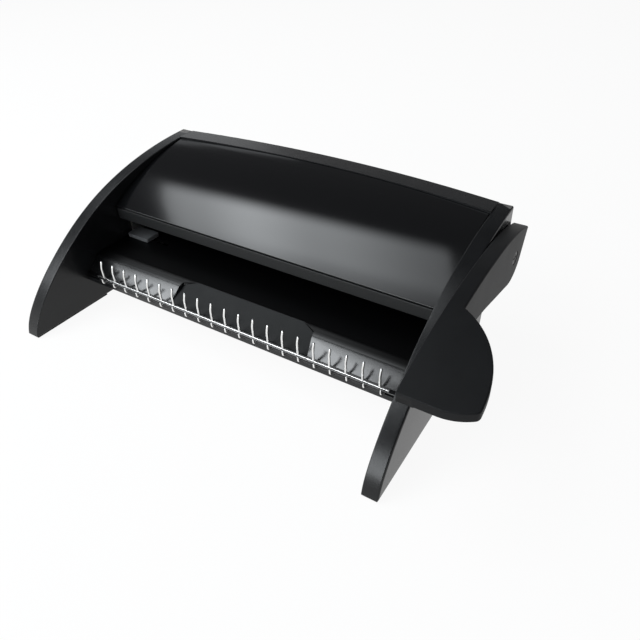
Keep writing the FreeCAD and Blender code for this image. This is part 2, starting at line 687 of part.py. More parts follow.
def make_chassis():
    """Steel side plates inside the panels that carry the punch unit and the shaft, and their screws."""
    front = fascia_back() + CHASSIS_FRONT_GAP
    foot = DIE_BOTTOM - CHASSIS_FOOT_DROP
    rear = SHAFT_Y + CHASSIS_BEHIND_SHAFT
    outline = side_wire((front, TABLE_TOP), (DIE_FRONT, TABLE_TOP), (DIE_FRONT, foot), (DIE_BACK, foot),
                        (DIE_BACK, TABLE_TOP), (SHAFT_Y, SHAFT_Z - CHASSIS_AROUND_SHAFT), (rear, SHAFT_Z),
                        (rear, SHAFT_Z + CHASSIS_AROUND_SHAFT), (SHAFT_Y, SHAFT_Z + CHASSIS_ABOVE_SHAFT),
                        (PUNCH_Y, BAR_TOP + CHASSIS_AROUND_SHAFT), (front, FASCIA_TOP))
    plate = along_x(outline, CHASSIS_INNER, INNER)
    bush_hole = shaft_rod(SHAFT_RADIUS + RUNNING_FIT + BUSH_WALL, CHASSIS_INNER, INNER)
    plate = plate.cut(chassis_screw_holes() + [bush_hole])
    save("right_chassis_plate", plate)
    save("left_chassis_plate", mirrored(plate))
    screws = [chassis_screw(y, z) for y, z in chassis_screw_places()]
    save("chassis_screws", group(screws + [mirrored(screw) for screw in screws]))


def ring(outer, x0, x1):
    """Ring round the shaft with a running fit."""
    return shaft_rod(outer, x0, x1).cut(shaft_rod(SHAFT_RADIUS + RUNNING_FIT, x0, x1))


def rocker(x):
    """Arm clamped on the shaft whose round nose presses the punch bar."""
    x0 = x - ROCKER_WALL / 2.0
    x1 = x + ROCKER_WALL / 2.0
    hub_side = ROCKER_HUB / math.sqrt(2.0)
    outline = side_wire((PUNCH_Y, NOSE_Z + ROCKER_NOSE), (PUNCH_Y + ROCKER_NOSE, NOSE_Z),
                        (SHAFT_Y - hub_side, SHAFT_Z - hub_side), (SHAFT_Y, SHAFT_Z + ROCKER_HUB))
    web = along_x(outline, x0, x1)
    arm = web.fuse([rod_x(ROCKER_NOSE, x0, x1, PUNCH_Y, NOSE_Z), shaft_rod(ROCKER_HUB, x0, x1)])
    return arm.cut(shaft_rod(SHAFT_RADIUS + RUNNING_FIT, x0, x1)).removeSplitter()


def lever_shaft_end():
    return LEVER_OUTER - LEVER_SCREW_SINK - LEVER_SCREW_HEAD_DEPTH - SHAFT_END_GAP


def lever_screw_tip():
    return LEVER_OUTER - LEVER_SCREW_LENGTH


def make_shaft_set():
    """Cross shaft, its two bushes and end clip, and the two rockers that work the punch bar."""
    inner_end = CHASSIS_INNER - BUSH_INNER_REACH
    blind_end = INNER + BUSH_BLIND_DEPTH
    end = lever_shaft_end()
    tip_room = lever_screw_tip() - LEVER_SCREW_TIP_GAP
    shaft = shaft_rod(SHAFT_RADIUS, -blind_end + SHAFT_END_GAP, end)
    save("drive_shaft", shaft.cut(shaft_rod(LEVER_SCREW_SHANK + SCREW_FIT, tip_room, end)))
    bush_radius = SHAFT_RADIUS + RUNNING_FIT + BUSH_WALL
    save("right_bush", ring(bush_radius, inner_end, HALF))
    save("left_bush", ring(bush_radius, -blind_end, -inner_end))
    save("right_rocker", rocker(ROCKER_BAY * PIN_PITCH))
    save("left_rocker", rocker(-ROCKER_BAY * PIN_PITCH))
    clip_start = -inner_end + ROCKER_GAP
    save("shaft_clip", ring(CLIP_RADIUS, clip_start, clip_start + CLIP_WALL))


def lever_top():
    offsets = (LEVER_NOSE, LEVER_NECK, LEVER_CROWN, LEVER_SHOULDER, LEVER_TAIL)
    return spline([from_shaft(offset) for offset in offsets])


def arc_middle(run, rise):
    """Middle of an arc that sets off along run and has left it by rise at the end, as along and across."""
    radius = (run ** 2 + rise ** 2) / (2.0 * rise)
    half_angle = math.asin(run / radius) / 2.0
    return radius * math.sin(half_angle), radius * (1.0 - math.cos(half_angle))


def pad_prism():
    """Room above the palm pad's plan: bowed front, round corner, and a long curve back to the arm."""
    front = SHAFT_Y + LEVER_NOSE[0]
    back = SHAFT_Y + PAD_ROOT
    curve_start = front + PAD_SIDE_START
    bow_start = PAD_TIP - PAD_BOW
    bow_along, bow_across = arc_middle(PAD_BOW, PAD_BOW_DEPTH)
    side_along, side_across = arc_middle(back - curve_start, PAD_TIP - LEVER_OUTER)
    start = Vector(LEVER_INNER, front, 0)
    bow = Vector(bow_start, front, 0)
    bow_middle = Vector(bow_start + bow_along, front + bow_across, 0)
    corner = Vector(PAD_TIP, front + PAD_BOW_DEPTH, 0)
    side = Vector(PAD_TIP, curve_start, 0)
    side_middle = Vector(PAD_TIP - side_across, curve_start + side_along, 0)
    root = Vector(LEVER_OUTER, back, 0)
    inner_root = Vector(LEVER_INNER, back, 0)
    edges = [Part.LineSegment(start, bow).toShape(), Part.Arc(bow, bow_middle, corner).toShape(),
             Part.LineSegment(corner, side).toShape(), Part.Arc(side, side_middle, root).toShape(),
             Part.LineSegment(root, inner_root).toShape(), Part.LineSegment(inner_root, start).toShape()]
    rise = Vector(0, 0, from_shaft(LEVER_CROWN)[1])
    prism = Part.Face(Part.Wire(edges)).extrude(rise)
    upright = [edge for edge in prism.Edges if edge.CenterOfMass.isEqual(corner + rise / 2.0, TOUCH)]
    return prism.makeFillet(PAD_CORNER, upright)


def lowered_top():
    """Underside of the pad, in line with its top."""
    curve = lever_top()
    curve.translate(Vector(0, 0, -PAD_THICKNESS))
    return curve


def edges_along(solid, curve, x):
    """Edges of solid outside the plane at x that follow curve, seen from the side."""
    picked = []
    for edge in solid.Edges:
        middle = edge.valueAt((edge.FirstParameter + edge.LastParameter) / 2.0)
        beside = Part.Vertex(Vector(0, middle.y, middle.z))
        if middle.x > x + TOUCH and curve.distToShape(beside)[0] < TOUCH:
            picked.append(edge)
    return picked


def lever_under_edges(lever):
    """Edges of the lever's inner side, the arm's lower side and the pad's underside."""
    front = SHAFT_Y + LEVER_RIB_FRONT[0] - TOUCH
    back = SHAFT_Y + LEVER_HEEL[0] + TOUCH
    belly = []
    for edge in edges_on_x(lever, LEVER_OUTER):
        reach = edge.BoundBox
        if reach.YLength > TOUCH and reach.YMin > front and reach.YMax < back:
            belly.append(edge)
    return edges_on_x(lever, LEVER_INNER) + belly + edges_along(lever, lowered_top(), LEVER_OUTER)


def lever_arm(top):
    heel = from_shaft(LEVER_HEEL)
    nose = from_shaft(LEVER_NOSE)
    outline = side_wire(top, bulged(heel, from_shaft(LEVER_BELLY), LEVER_HEEL_BULGE), from_shaft(LEVER_WAIST),
                        from_shaft(LEVER_RIB_FRONT), (nose[0], nose[1] - PAD_THICKNESS))
    return along_x(outline, LEVER_INNER, LEVER_OUTER)


def lever_pad(top):
    risers = []
    for y, z in (from_shaft(LEVER_NOSE), from_shaft(LEVER_TAIL)):
        risers.append(Part.LineSegment(Vector(0, y, z), Vector(0, y, z - PAD_THICKNESS)).toShape())
    band = along_x(Part.Wire([top, risers[1], lowered_top(), risers[0]]), LEVER_INNER, PAD_TIP)
    return pad_prism().common(band)


def make_lever():
    """One moulded lever: the arm beside the right panel and the palm pad at its front, and its screw."""
    top = lever_top()
    lever = lever_arm(top).fuse(lever_pad(top)).removeSplitter()
    lever = lever.makeFillet(LEVER_EDGE_ROUND, edges_along(lever, top, LEVER_INNER))
    lever = lever.makeFillet(LEVER_UNDER_ROUND, lever_under_edges(lever))
    seat = LEVER_OUTER - LEVER_SCREW_SINK - LEVER_SCREW_HEAD_DEPTH
    bore = shaft_rod(SHAFT_RADIUS + RUNNING_FIT, LEVER_INNER, lever_shaft_end())
    hole = shaft_rod(LEVER_SCREW_SHANK + SCREW_FIT, LEVER_INNER, LEVER_OUTER)
    sink = shaft_rod(LEVER_SCREW_HEAD + SCREW_FIT, seat, LEVER_OUTER)
    save("lever_handle", lever.cut([bore, hole, sink]))
    face = LEVER_OUTER - LEVER_SCREW_SINK
    floor = face - CROSS_SLOT_DEPTH
    half = CROSS_SLOT_WIDTH / 2.0
    reach = CROSS_SLOT_HALF
    cross = [box(floor, face, SHAFT_Y - reach, SHAFT_Y + reach, SHAFT_Z - half, SHAFT_Z + half),
             box(floor, face, SHAFT_Y - half, SHAFT_Y + half, SHAFT_Z - reach, SHAFT_Z + reach)]
    head = shaft_rod(LEVER_SCREW_HEAD, seat, face).cut(cross)
    save("lever_screw", head.fuse(shaft_rod(LEVER_SCREW_SHANK, lever_screw_tip(), seat)).removeSplitter())


def make_bottom_cover():
    """Folded floor: a front lip and shelf under the rack, a step down, and the tray's floor."""
    floor_top = FLOOR_BOTTOM + FLOOR_WALL
    lip_back = LEDGE_FRONT + SHELF_WALL
    step_back = STEP_FRONT + FLOOR_WALL
    rear = FOOT_REAR - TRAY_FACE_WALL - TRAY_FACE_FLOOR_GAP
    outline = side_wire((LEDGE_FRONT, SHELF_BOTTOM), (LEDGE_FRONT, LIP_TOP), (lip_back, LIP_TOP),
                        (lip_back, SHELF_TOP), (step_back, SHELF_TOP), (step_back, floor_top),
                        (rear, floor_top), (rear, FLOOR_BOTTOM), (STEP_FRONT, FLOOR_BOTTOM),
                        (STEP_FRONT, SHELF_BOTTOM))
    save("bottom_cover", along_x(outline, -INNER, INNER))


def make_chip_tray():
    """Open drawer below the die that slides out at the back, closed by a clipped-on face with a pull lip."""
    half = POST_INNER - TRAY_SIDE_GAP
    face_half = INNER - TRAY_FACE_SIDE_GAP
    front = STEP_FRONT + FLOOR_WALL + TRAY_FRONT_GAP
    top = RACK_BOTTOM - TRAY_TOP_GAP
    face_top = RACK_BOTTOM - TRAY_FACE_TOP_GAP
    rear = FOOT_REAR
    face_front = rear - TRAY_FACE_WALL
    tub = box(-half, half, front, face_front, TRAY_BOTTOM, top)
    inside_half = half - TRAY_WALL
    inside_floor = TRAY_BOTTOM + TRAY_WALL
    inside = box(-inside_half, inside_half, front + TRAY_WALL, face_front, inside_floor, top)
    face = box(-face_half, face_half, face_front, rear, TRAY_BOTTOM, face_top)
    lip_z = (TRAY_BOTTOM + face_top) / 2.0
    lip = box(-TRAY_GRIP_HALF, TRAY_GRIP_HALF, rear, rear + TRAY_GRIP_DEPTH, lip_z, lip_z + TRAY_GRIP_WALL)
    save("chip_tray", tub.cut(inside))
    save("tray_face", face.fuse(lip).removeSplitter())


def main():
    os.makedirs("parts", exist_ok=True)
    make_side_panels()
    make_foot_pads()
    make_rear_beam()
    make_rear_panel()
    make_top_cover()
    make_cover_fascia()
    make_throat_guide()
    make_paper_table()
    make_edge_guide()
    make_comb_apron()
    make_pins()
    make_hook_rack()
    make_cam()
    make_die_set()
    make_punch_set()
    make_chassis()
    make_shaft_set()
    make_lever()
    make_bottom_cover()
    make_chip_tray()


main()
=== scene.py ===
"""Dresses the comb binding machine: moulded and glossy black shells, bright wire pins and hooks, coil
springs, plain finishes for the works inside, and a white studio seen from above its front right corner."""
import json
import math

import bmesh
import bpy
from mathutils import Matrix, Quaternion, Vector


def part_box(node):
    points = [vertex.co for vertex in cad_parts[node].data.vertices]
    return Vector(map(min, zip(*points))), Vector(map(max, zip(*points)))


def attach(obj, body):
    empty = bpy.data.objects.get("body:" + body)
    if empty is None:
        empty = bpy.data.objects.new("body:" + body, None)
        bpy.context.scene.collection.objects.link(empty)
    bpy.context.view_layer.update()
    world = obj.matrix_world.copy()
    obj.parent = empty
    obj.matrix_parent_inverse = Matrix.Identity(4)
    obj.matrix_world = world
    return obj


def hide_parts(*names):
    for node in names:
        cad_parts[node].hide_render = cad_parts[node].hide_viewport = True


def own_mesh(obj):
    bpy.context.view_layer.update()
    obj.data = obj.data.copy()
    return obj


MM = 0.001
UP = Vector((0.0, 0.0, 1.0))

# Pins, hooks and springs, as bent wire
PIN_COUNT = 21
PIN_RADIUS = 1.0 * MM
PIN_KNEE_HEIGHT = 10.0 * MM
PIN_BEND = 14.0 * MM
HOOK_RADIUS = 0.7 * MM
HOOK_BEND = 1.7 * MM
SPRING_WIRE = 0.42 * MM
SPRING_TURNS = 8
SPRING_STEPS = 18
WIRE_SIDES = 12
BEND_STEPS = 8
TIP_RINGS = 4
TIP_ANGLE = math.radians(80.0)

# Shading and rounding of edges
WELD_GAP = 0.002 * MM
FLAT_ANGLE = math.radians(0.2)
SHARP_ANGLE = math.radians(35.0)
WIRE_SHARP_ANGLE = math.radians(60.0)
EDGE_STEPS = 3

# Solids that have their roundings already, and the names of their pieces
SHELLS = {
    "left_side_panel": "left_panel_moulding",
    "right_side_panel": "right_panel_moulding",
    "rear_beam": "beam_moulding",
    "lever_handle": "lever_moulding",
}

# Solids with sharp edges, the names of their pieces, and the rounding that a mould gives their edges
MOULDINGS = {
    "rear_panel": ("back_moulding", 0.5 * MM),
    "top_cover": ("cover_shell", 0.6 * MM),
    "cover_fascia": ("fascia_strip", 0.6 * MM),
    "comb_apron": ("apron_moulding", 0.3 * MM),
    "scoop_panel": ("scoop_inset", 0.2 * MM),
    "edge_guide": ("edge_guide_tab", 0.5 * MM),
    "pin_rail": ("pin_rail_bar", 0.35 * MM),
    "lever_screw": ("lever_screw_head", 0.3 * MM),
    "tray_face": ("tray_face_moulding", 0.6 * MM),
    "bottom_cover": ("bottom_moulding", 0.4 * MM),
    "foot_pads": ("foot_pad_rubbers", 0.4 * MM),
}

# Dull black of the table, and the heights between which the apron's gloss fades into it
GLOSS_TOP = 43.5 * MM
DULL_BOTTOM = 46.5 * MM
DECK_COLOUR = (0.0012, 0.0012, 0.0014)
DECK_SHINE = 0.12
DECK_ROUGHNESS = (0.32, 0.4)
APRON_DULL_ROUGHNESS = 0.36

# Noise between which a finish runs from its dark to its light colour, and how dark the dark one is
DARK_NOISE = 0.35
LIGHT_NOISE = 0.65
STEEL_DARK_SHARE = 0.82
PLASTIC_DARK_SHARE = 0.92

# Floor: reach from its middle, and the share of its look that is even white, so the shadow stays faint
FLOOR_REACH = 8.0
FLOOR_COLOUR = (0.9, 0.9, 0.9)
FLOOR_ROUGHNESS = 0.9
FLOOR_EVEN_SHARE = 0.93

# World: sines of the angles above level where the walls end and the ceiling begins
WALL_TOP = 0.18
WALL_COLOUR = (1.0, 1.0, 1.0, 1.0)
CEILING_FOOT = 0.38
CEILING_COLOUR = (0.1, 0.1, 0.105, 1.0)

# Camera: place in metres, angles in degrees below level and left of straight back, lens in millimetres
CAMERA_PLACE = (0.25315, -0.3209, 0.3278)
CAMERA_DIP = 37.9
CAMERA_TURN = 29.7
SENSOR_WIDTH = 36.0
LENS_LENGTH = 32.43
LENS_SHIFT = -0.0625
NEAREST = 0.01
FARTHEST = 50.0

# Lamps: a cool white, and for the top lamp the place along it from its left end, the place across it from
# its front, and its share of the glow at each
LAMP_COLOUR = (0.93, 0.97, 1.0)
TOP_ALONG = ((0.0, 0.5), (0.12, 0.62), (0.36, 1.0), (0.6, 0.7), (1.0, 0.3))
TOP_ACROSS = ((0.0, 0.5), (0.3, 1.0), (0.7, 1.0), (1.0, 0.0))

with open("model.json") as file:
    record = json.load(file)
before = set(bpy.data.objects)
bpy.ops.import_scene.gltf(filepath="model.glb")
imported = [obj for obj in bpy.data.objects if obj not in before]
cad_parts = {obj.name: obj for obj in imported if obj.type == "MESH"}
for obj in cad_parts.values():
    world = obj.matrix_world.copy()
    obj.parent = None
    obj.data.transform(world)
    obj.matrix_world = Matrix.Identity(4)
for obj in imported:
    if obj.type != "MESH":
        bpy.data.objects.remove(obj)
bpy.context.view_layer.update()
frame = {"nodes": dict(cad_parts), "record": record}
nodes = frame["nodes"]


# Shader nodes of a material, a lamp or the world

def add_node(owner, kind, **values):
    node = owner.node_tree.nodes.new(kind)
    for key, value in values.items():
        node.inputs[key].default_value = value
    return node


def join(owner, source, target):
    owner.node_tree.links.new(source, target)


def combine(owner, operation, first, second):
    """Product, larger one or other outcome of two sockets."""
    node = add_node(owner, "ShaderNodeMath")
    node.operation = operation
    join(owner, first, node.inputs[0])
    join(owner, second, node.inputs[1])
    return node.outputs["Value"]


def blend_shaders(material, share, first, second):
    """Surface that goes from the first shader to the second as share rises."""
    blend = add_node(material, "ShaderNodeMixShader")
    join(material, share, blend.inputs["Fac"])
    join(material, first, blend.inputs[1])
    join(material, second, blend.inputs[2])
    join(material, blend.outputs["Shader"], material.node_tree.nodes["Material Output"].inputs["Surface"])


# Finishes

def new_finish(name, colour, roughness, metallic=0.0, shine=0.5):
    """Material whose plain values are those that a finish starts from before its detail is added."""
    material = bpy.data.materials.new(name)
    material.use_nodes = True
    shader = material.node_tree.nodes["Principled BSDF"]
    shader.inputs["Base Color"].default_value = (*colour, 1.0)
    shader.inputs["Roughness"].default_value = roughness
    shader.inputs["Metallic"].default_value = metallic
    shader.inputs["Specular IOR Level"].default_value = shine
    return material, shader


def object_noise(material, scale, detail=2.0, stretch=(1.0, 1.0, 1.0)):
    """Noise in the machine's own coordinates, with scale in waves per metre."""
    place = add_node(material, "ShaderNodeTexCoord")
    turn = add_node(material, "ShaderNodeMapping", Scale=stretch)
    noise = add_node(material, "ShaderNodeTexNoise", Scale=scale, Detail=detail)
    join(material, place.outputs["Object"], turn.inputs["Vector"])
    join(material, turn.outputs["Vector"], noise.inputs["Vector"])
    return noise.outputs["Fac"]


def vary_roughness(material, shader, source, low, high):
    spread = add_node(material, "ShaderNodeMapRange")
    spread.inputs["To Min"].default_value = low
    spread.inputs["To Max"].default_value = high
    join(material, source, spread.inputs["Value"])
    join(material, spread.outputs["Result"], shader.inputs["Roughness"])


def vary_colour(material, shader, source, dark, light):
    ramp = add_node(material, "ShaderNodeValToRGB")
    ramp.color_ramp.elements[0].color = (*dark, 1.0)
    ramp.color_ramp.elements[1].color = (*light, 1.0)
    ramp.color_ramp.elements[0].position = DARK_NOISE
    ramp.color_ramp.elements[1].position = LIGHT_NOISE
    join(material, source, ramp.inputs["Fac"])
    join(material, ramp.outputs["Color"], shader.inputs["Base Color"])


def roughen(material, shader, source, depth, strength):
    """Relief of the given depth in metres."""
    bump = add_node(material, "ShaderNodeBump", Strength=strength, Distance=depth)
    join(material, source, bump.inputs["Height"])
    join(material, bump.outputs["Normal"], shader.inputs["Normal"])


def moulded_black(name, shine, low, high):
    """Matt black plastic with a fine spark-eroded grain, between two roughnesses."""
    material, shader = new_finish(name, (0.0055, 0.006, 0.0066), high, shine=shine)
    grain = object_noise(material, scale=2600.0, detail=3.0)
    cloud = object_noise(material, scale=45.0)
    vary_colour(material, shader, cloud, dark=(0.0048, 0.0052, 0.0058), light=(0.0062, 0.0067, 0.0074))
    vary_roughness(material, shader, cloud, low, high)
    roughen(material, shader, grain, depth=0.06 * MM, strength=0.3)
    return material


def polished_black(name, shine, low, high):
    """Piano-black plastic with a faint moulded wave and fine rub marks, between two roughnesses."""
    material, shader = new_finish(name, (0.003, 0.0032, 0.0036), high, shine=shine)
    rub = object_noise(material, scale=160.0, detail=4.0, stretch=(1.0, 8.0, 8.0))
    wave = object_noise(material, scale=30.0, detail=1.0)
    vary_roughness(material, shader, rub, low, high)
    roughen(material, shader, wave, depth=0.12 * MM, strength=0.12)
    return material


def satin_black(name, shine):
    """Satin black plastic of the fascia and the scoop."""
    material, shader = new_finish(name, (0.006, 0.0068, 0.0072), 0.5, shine=shine)
    grain = object_noise(material, scale=1800.0)
    cloud = object_noise(material, scale=60.0)
    vary_roughness(material, shader, cloud, low=0.46, high=0.54)
    roughen(material, shader, grain, depth=0.04 * MM, strength=0.25)
    return material


def fading_gloss():
    """Piano black on the apron's slope that turns dull over its roll."""
    material = polished_black("apron_black", shine=0.8, low=0.19, high=0.25)
    gloss = material.node_tree.nodes["Principled BSDF"]
    dull = add_node(material, "ShaderNodeBsdfPrincipled", Roughness=APRON_DULL_ROUGHNESS)
    dull.inputs["Base Color"].default_value = (*DECK_COLOUR, 1.0)
    dull.inputs["Specular IOR Level"].default_value = DECK_SHINE
    place = add_node(material, "ShaderNodeTexCoord")
    split = add_node(material, "ShaderNodeSeparateXYZ")
    rise = add_node(material, "ShaderNodeMapRange")
    rise.interpolation_type = "SMOOTHSTEP"
    rise.inputs["From Min"].default_value = GLOSS_TOP
    rise.inputs["From Max"].default_value = DULL_BOTTOM
    join(material, place.outputs["Object"], split.inputs["Vector"])
    join(material, split.outputs["Z"], rise.inputs["Value"])
    blend_shaders(material, rise.outputs["Result"], gloss.outputs["BSDF"], dull.outputs["BSDF"])
    return material


def deck_black():
    """Smooth black sheet of the paper table and throat."""
    material, shader = new_finish("deck_black", DECK_COLOUR, 0.35, shine=DECK_SHINE)
    grain = object_noise(material, scale=900.0, detail=3.0)
    vary_roughness(material, shader, grain, *DECK_ROUGHNESS)
    roughen(material, shader, grain, depth=0.03 * MM, strength=0.25)
    return material


def bright_nickel():
    """Nickel-plated wire with faint drawing marks."""
    material, shader = new_finish("bright_nickel", (0.86, 0.86, 0.85), 0.2, metallic=1.0)
    marks = object_noise(material, scale=900.0, detail=3.0, stretch=(6.0, 6.0, 0.6))
    vary_roughness(material, shader, marks, low=0.16, high=0.3)
    roughen(material, shader, marks, depth=0.02 * MM, strength=0.3)
    return material


def steel(name, colour, low, high, stretch=(1.0, 1.0, 1.0)):
    """Works inside: metal with grinding or plating marks, between two roughnesses."""
    material, shader = new_finish(name, colour, low, metallic=1.0)
    marks = object_noise(material, scale=700.0, detail=4.0, stretch=stretch)
    vary_colour(material, shader, marks, dark=[STEEL_DARK_SHARE * part for part in colour], light=colour)
    vary_roughness(material, shader, marks, low, high)
    roughen(material, shader, marks, depth=0.03 * MM, strength=0.3)
    return material


def plain_plastic(name, colour, roughness):
    """Plastic or paint with a fine grain."""
    material, shader = new_finish(name, colour, roughness)
    grain = object_noise(material, scale=1500.0)
    cloud = object_noise(material, scale=90.0)
    vary_colour(material, shader, cloud, dark=[PLASTIC_DARK_SHARE * part for part in colour], light=colour)
    roughen(material, shader, grain, depth=0.04 * MM, strength=0.3)
    return material


def foot_rubber():
    """Soft black rubber with grip ribs across the foot."""
    material, shader = new_finish("foot_rubber", (0.012, 0.012, 0.012), 0.85)
    place = add_node(material, "ShaderNodeTexCoord")
    ribs = add_node(material, "ShaderNodeTexWave", Scale=160.0)
    ribs.bands_direction = "Y"
    join(material, place.outputs["Object"], ribs.inputs["Vector"])
    roughen(material, shader, ribs.outputs["Fac"], depth=0.3 * MM, strength=0.5)
    return material


finishes = {
    "matte_black": moulded_black("moulded_black", shine=0.33, low=0.22, high=0.29),
    "gloss_black": polished_black("polished_black", shine=0.5, low=0.085, high=0.11),
    "satin_grey": satin_black("satin_black", shine=0.4),
    "dark_deck": deck_black(),
    "bright_steel": bright_nickel(),
    "painted_steel": plain_plastic("black_paint", (0.014, 0.014, 0.015), roughness=0.4),
    "machined_steel": steel("ground_steel", (0.5, 0.5, 0.5), low=0.28, high=0.42, stretch=(1.0, 12.0, 12.0)),
    "plated_steel": steel("zinc_plate", (0.58, 0.58, 0.56), low=0.3, high=0.45),
    "bush_bronze": steel("sintered_bronze", (0.55, 0.4, 0.2), low=0.35, high=0.5),
    "guide_grey": plain_plastic("guide_grey", (0.1, 0.105, 0.11), roughness=0.5),
    "wedge_nylon": plain_plastic("wedge_nylon", (0.7, 0.7, 0.66), roughness=0.5),
    "pad_rubber": foot_rubber(),
}
special_finishes = {
    "lever_handle": moulded_black("lever_black", shine=0.16, low=0.5, high=0.58),
    "comb_apron": fading_gloss(),
    "scoop_panel": satin_black("scoop_black", shine=0.14),
}
bodies = frame["record"]["behaviour"]["bodies"]
body_of = {node: body for body, members in bodies.items() for node in members}
slot_of = {row["node"]: row["material_slot"] for row in frame["record"]["subparts"]}
finish_of = {node: special_finishes.get(node, finishes[slot_of[node]]) for node in nodes}
for node, shape in nodes.items():
    shape.data.materials.clear()
    shape.data.materials.append(finish_of[node])


# Pieces

def piece(name, bm, node, sharp_angle=SHARP_ANGLE):
    """Object from bm that rides with, finishes as and replaces the node."""
    mesh = bpy.data.meshes.new(name)
    bm.to_mesh(mesh)
    bm.free()
    mesh.shade_smooth()
    mesh.set_sharp_from_angle(angle=sharp_angle)
    shape = bpy.data.objects.new(name, mesh)
    bpy.context.scene.collection.objects.link(shape)
    mesh.materials.append(finish_of[node])
    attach(shape, body_of[node])
    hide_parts(node)
    return shape


def merged_copy(node):
    """The node's solid with its triangles joined and its flat faces made whole."""
    bm = bmesh.new()
    bm.from_mesh(nodes[node].data)
    bmesh.ops.remove_doubles(bm, verts=bm.verts, dist=WELD_GAP)
    bmesh.ops.dissolve_limit(bm, angle_limit=FLAT_ANGLE, verts=bm.verts, edges=bm.edges)
    return bm


def shell(node, name):
    """The node's shape, whose roundings are already in its solid, with its flat faces shaded flat."""
    shape = piece(name, merged_copy(node), node)
    shading = shape.modifiers.new("flat_faces", "WEIGHTED_NORMAL")
    shading.keep_sharp = True


def moulding(node, name, edge_round):
    """The node's shape with its sharp edges rounded as a moulding's are."""
    shape = piece(name, merged_copy(node), node)
    rounding = shape.modifiers.new("edge_round", "BEVEL")
    rounding.width = edge_round
    rounding.segments = EDGE_STEPS
    rounding.limit_method = "ANGLE"
    rounding.angle_limit = SHARP_ANGLE
    rounding.use_clamp_overlap = False
    rounding.harden_normals = True


def new_verts(made):
    return [item for item in made if isinstance(item, bmesh.types.BMVert)]


def ring_edges(verts):
    """Edges between the given vertices."""
    ring = set(verts)
    touching = {edge for vert in verts for edge in vert.link_edges}
    return [edge for edge in touching if ring.issuperset(edge.verts)]


def wire_end(bm, radius, place, way):
    """Closed end of a wire at place that runs off along way; gives the ring to go on from."""
    facing = UP.rotation_difference(way).to_matrix().to_4x4()
    made = bmesh.ops.create_circle(bm, cap_ends=True, segments=WIRE_SIDES, radius=radius,
                                   matrix=Matrix.Translation(place) @ facing)
    return ring_edges(made["verts"])


def wire_run(bm, ring, way):
    """Straight length of wire; gives the ring at its far end."""
    made = bmesh.ops.extrude_edge_only(bm, edges=ring)["geom"]
    verts = new_verts(made)
    bmesh.ops.translate(bm, verts=verts, vec=way)
    return ring_edges(verts)


def wire_bend(bm, ring, centre, angle):
    """Bend in the plane across the pins; gives the ring at its far end."""
    made = bmesh.ops.spin(bm, geom=ring, cent=centre, axis=(1.0, 0.0, 0.0), angle=angle, steps=BEND_STEPS)
    return ring_edges(new_verts(made["geom_last"]))


def wire_tip(bm, ring, way, radius):
    """Domed end of a wire, in rings that shrink towards the tip."""
    sine = 0.0
    cosine = 1.0
    for index in range(1, TIP_RINGS + 1):
        angle = TIP_ANGLE * index / TIP_RINGS
        ring = wire_run(bm, ring, way * radius * (math.sin(angle) - sine))
        verts = list({vert for edge in ring for vert in edge.verts})
        middle = sum((vert.co for vert in verts), Vector()) / len(verts)
        share = math.cos(angle) / cosine
        bmesh.ops.scale(bm, verts=verts, vec=(share, share, share), space=Matrix.Translation(-middle))
        sine = math.sin(angle)
        cosine = math.cos(angle)
    bmesh.ops.edgeloop_fill(bm, edges=ring)


def along_row(low, high, radius):
    """Places along X of a row of wires between low and high."""
    first = low.x + radius
    pitch = (high.x - radius - first) / (PIN_COUNT - 1)
    return [first + index * pitch for index in range(PIN_COUNT)]


def wire_pins():
    """Upright pins whose tips bend back, from the row that the solids give."""
    low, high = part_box("pins")
    foot_y = low.y + PIN_RADIUS
    tip = Vector((0.0, high.y - PIN_RADIUS - foot_y, high.z - PIN_RADIUS - low.z - PIN_KNEE_HEIGHT))
    lean = math.atan2(tip.y, tip.z)
    tangent = PIN_BEND * math.tan(lean / 2.0)
    bm = bmesh.new()
    for x in along_row(low, high, PIN_RADIUS):
        foot = Vector((x, foot_y, low.z))
        ring = wire_end(bm, PIN_RADIUS, foot, UP)
        ring = wire_run(bm, ring, UP * (PIN_KNEE_HEIGHT - tangent))
        bend_centre = foot + Vector((0.0, PIN_BEND, PIN_KNEE_HEIGHT - tangent))
        ring = wire_bend(bm, ring, bend_centre, -lean)
        ring = wire_run(bm, ring, tip.normalized() * (tip.length - tangent))
        wire_tip(bm, ring, tip.normalized(), PIN_RADIUS)
    bmesh.ops.recalc_face_normals(bm, faces=bm.faces)
    piece("wire_pins", bm, "pins", WIRE_SHARP_ANGLE)


def wire_hooks():
    """Hooks that reach forward from the slit and turn up."""
    low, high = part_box("hooks")
    forward = Vector((0.0, -1.0, 0.0))
    root_z = low.z + HOOK_RADIUS
    elbow_y = low.y + HOOK_RADIUS
    reach = high.y - elbow_y
    rise = high.z - HOOK_RADIUS - root_z
    bm = bmesh.new()
    for x in along_row(low, high, HOOK_RADIUS):
        ring = wire_end(bm, HOOK_RADIUS, Vector((x, high.y, root_z)), forward)
        ring = wire_run(bm, ring, forward * (reach - HOOK_BEND))
        bend_centre = Vector((x, elbow_y + HOOK_BEND, root_z + HOOK_BEND))
        ring = wire_bend(bm, ring, bend_centre, -math.pi / 2.0)
        ring = wire_run(bm, ring, UP * (rise - HOOK_BEND))
        wire_tip(bm, ring, UP, HOOK_RADIUS)
    bmesh.ops.recalc_face_normals(bm, faces=bm.faces)
    piece("wire_hooks", bm, "hooks", WIRE_SHARP_ANGLE)


